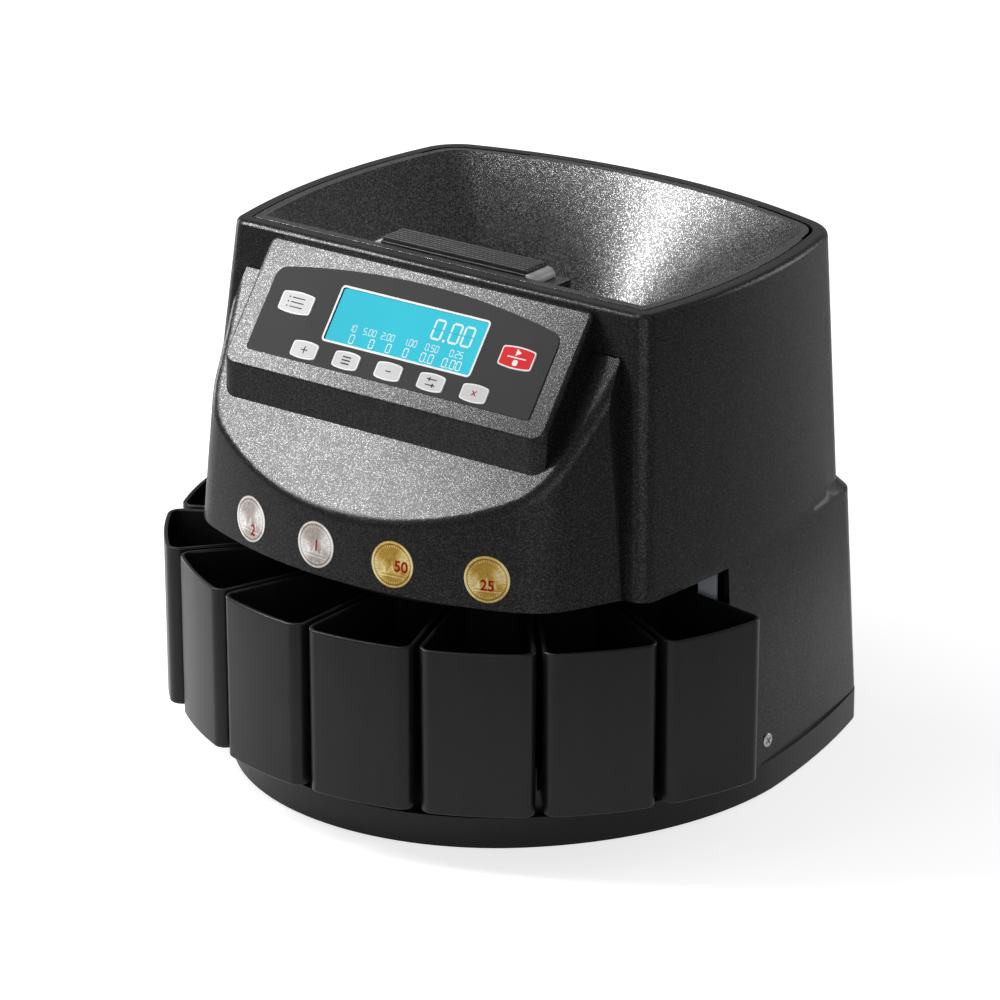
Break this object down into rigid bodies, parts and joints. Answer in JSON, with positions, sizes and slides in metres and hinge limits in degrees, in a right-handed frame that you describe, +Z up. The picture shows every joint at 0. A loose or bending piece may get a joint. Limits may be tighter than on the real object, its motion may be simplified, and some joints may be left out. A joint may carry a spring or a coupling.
{
  "type": "coin sorting machine",
  "caption": "Tabletop coin counter and sorter: swing-up hopper over a geared coin disc and slotted sorting track, sloped key panel with display, pull-out cups in a fan",
  "frame": {"origin": "middle of the footprint, on the floor under the rubber feet", "axes": "+X to the right of a person facing the panel, +Y towards the back, +Z up"},
  "size_m": [0.342, 0.3199, 0.2726],
  "materials": {
    "textured_black": "fine grained",
    "hopper_black": "grained",
    "satin_black": "smooth satin",
    "pale_grey": "smooth satin",
    "grip_grey": "satin",
    "black_rubber": "matte",
    "plain_steel": "brushed",
    "motor_steel": "satin",
    "gear_white": "smooth",
    "disc_black": "satin",
    "sensor_black": "smooth",
    "overlay_film": "satin film",
    "window_clear": "clear",
    "display_cyan": "backlit",
    "board_green": "smooth",
    "key_grey": "smooth",
    "key_red": "smooth",
    "label_silver": "printed film",
    "inlet_black": "smooth",
    "blade_brass": "plated",
    "supply_metal": "plain"
  },
  "bodies": {
    "machine": {"main_housing": "textured_black", "panel_housing": "textured_black", "rear_cover": "textured_black", "base_pan": "satin_black", "drum_frame": "satin_black", "drop_walls": "pale_grey", "drop_vanes": "pale_grey", "rubber_feet": "black_rubber", "slot_plates": "plain_steel", "track_plates": "plain_steel", "deck_plate": "plain_steel", "spindle_bearings": "plain_steel", "cover_screws": "plain_steel", "side_screws": "plain_steel", "gear_motor": "motor_steel", "bearing_block": "disc_black", "track_cover": "disc_black", "coin_throat": "disc_black", "track_wall": "disc_black", "coin_sensors": "sensor_black", "key_switches": "sensor_black", "board_parts": "sensor_black", "panel_overlay": "overlay_film", "display_window": "window_clear", "lcd_module": "display_cyan", "panel_board": "board_green", "main_board": "board_green", "coin_labels": "label_silver", "power_inlet": "inlet_black", "power_switch": "inlet_black", "inlet_blades": "blade_brass", "power_supply": "supply_metal"},
    "hopper": {"hopper": "hopper_black"},
    "grip": {"grip_plate": "grip_grey", "grip_pad": "black_rubber"},
    "disc": {"coin_disc": "disc_black", "disc_cone": "disc_black", "drive_gear": "gear_white", "drive_shaft": "plain_steel"},
    "pinion": {"motor_pinion": "gear_white"},
    "rocker": {"power_rocker": "inlet_black"},
    "cup_1": {"cup_1": "satin_black"},
    "cup_2": {"cup_2": "satin_black"},
    "cup_3": {"cup_3": "satin_black"},
    "cup_4": {"cup_4": "satin_black"},
    "cup_5": {"cup_5": "satin_black"},
    "cup_6": {"cup_6": "satin_black"},
    "cup_7": {"cup_7": "satin_black"},
    "cup_8": {"cup_8": "satin_black"},
    "key_report": {"key_report": "key_grey"},
    "key_start": {"key_start": "key_red"},
    "key_plus": {"key_plus": "key_grey"},
    "key_batch": {"key_batch": "key_grey"},
    "key_minus": {"key_minus": "key_grey"},
    "key_set": {"key_set": "key_grey"},
    "key_clear": {"key_clear": "key_grey"}
  },
  "joints": [
    {"name": "hopper_hinge", "type": "hinge", "parent": "machine", "child": "hopper", "pos_m": [0, 0.09655, 0.265], "axis": [-1, 0, 0], "range_deg": [0, 60]},
    {"name": "grip_slide", "type": "slide", "parent": "hopper", "child": "grip", "axis": [0, 1, 0], "range_m": [0, 0.006], "stiffness_N_per_m": 150, "springref_m": -0.004},
    {"name": "disc_spin", "type": "hinge", "parent": "machine", "child": "disc", "pos_m": [0, 0.01455, 0.15], "axis": [0, 0, 1], "continuous": true},
    {"name": "pinion_spin", "type": "hinge", "parent": "machine", "child": "pinion", "pos_m": [0, 0.06855, 0.138], "axis": [0, 0, 1], "continuous": true},
    {"name": "rocker_tilt", "type": "hinge", "parent": "machine", "child": "rocker", "pos_m": [-0.018, 0.14755, 0.056], "axis": [-1, 0, 0], "range_deg": [0, 14]},
    {"name": "cup_1_slide", "type": "slide", "parent": "machine", "child": "cup_1", "axis": [-0.9448, -0.3276, 0], "range_m": [0, 0.07]},
    {"name": "cup_2_slide", "type": "slide", "parent": "machine", "child": "cup_2", "axis": [-0.773, -0.6344, 0], "range_m": [-0.0048, 0.065]},
    {"name": "cup_3_slide", "type": "slide", "parent": "machine", "child": "cup_3", "axis": [-0.5057, -0.8627, 0], "range_m": [0, 0.07]},
    {"name": "cup_4_slide", "type": "slide", "parent": "machine", "child": "cup_4", "axis": [-0.1758, -0.9844, 0], "range_m": [0, 0.07]},
    {"name": "cup_5_slide", "type": "slide", "parent": "machine", "child": "cup_5", "axis": [0.1758, -0.9844, 0], "range_m": [0, 0.07]},
    {"name": "cup_6_slide", "type": "slide", "parent": "machine", "child": "cup_6", "axis": [0.5057, -0.8627, 0], "range_m": [0, 0.07]},
    {"name": "cup_7_slide", "type": "slide", "parent": "machine", "child": "cup_7", "axis": [0.773, -0.6344, 0], "range_m": [0, 0.07]},
    {"name": "cup_8_slide", "type": "slide", "parent": "machine", "child": "cup_8", "axis": [0.9448, -0.3276, 0], "range_m": [0, 0.07]},
    {"name": "key_report_press", "type": "slide", "parent": "machine", "child": "key_report", "axis": [0, 0.7923, -0.6101], "range_m": [0, 0.0008], "stiffness_N_per_m": 300, "springref_m": -0.0005},
    {"name": "key_start_press", "type": "slide", "parent": "machine", "child": "key_start", "axis": [0, 0.7923, -0.6101], "range_m": [0, 0.0008], "stiffness_N_per_m": 300, "springref_m": -0.0005},
    {"name": "key_plus_press", "type": "slide", "parent": "machine", "child": "key_plus", "axis": [0, 0.7923, -0.6101], "range_m": [0, 0.0008], "stiffness_N_per_m": 300, "springref_m": -0.0005},
    {"name": "key_batch_press", "type": "slide", "parent": "machine", "child": "key_batch", "axis": [0, 0.7923, -0.6101], "range_m": [0, 0.0008], "stiffness_N_per_m": 300, "springref_m": -0.0005},
    {"name": "key_minus_press", "type": "slide", "parent": "machine", "child": "key_minus", "axis": [0, 0.7923, -0.6101], "range_m": [0, 0.0008], "stiffness_N_per_m": 300, "springref_m": -0.0005},
    {"name": "key_set_press", "type": "slide", "parent": "machine", "child": "key_set", "axis": [0, 0.7923, -0.6101], "range_m": [0, 0.0008], "stiffness_N_per_m": 300, "springref_m": -0.0005},
    {"name": "key_clear_press", "type": "slide", "parent": "machine", "child": "key_clear", "axis": [0, 0.7923, -0.6101], "range_m": [0, 0.0008], "stiffness_N_per_m": 300, "springref_m": -0.0005}
  ],
  "couplings": [
    {"joint": "pinion_spin", "follows": "disc_spin", "ratio": -2.8571}
  ]
}
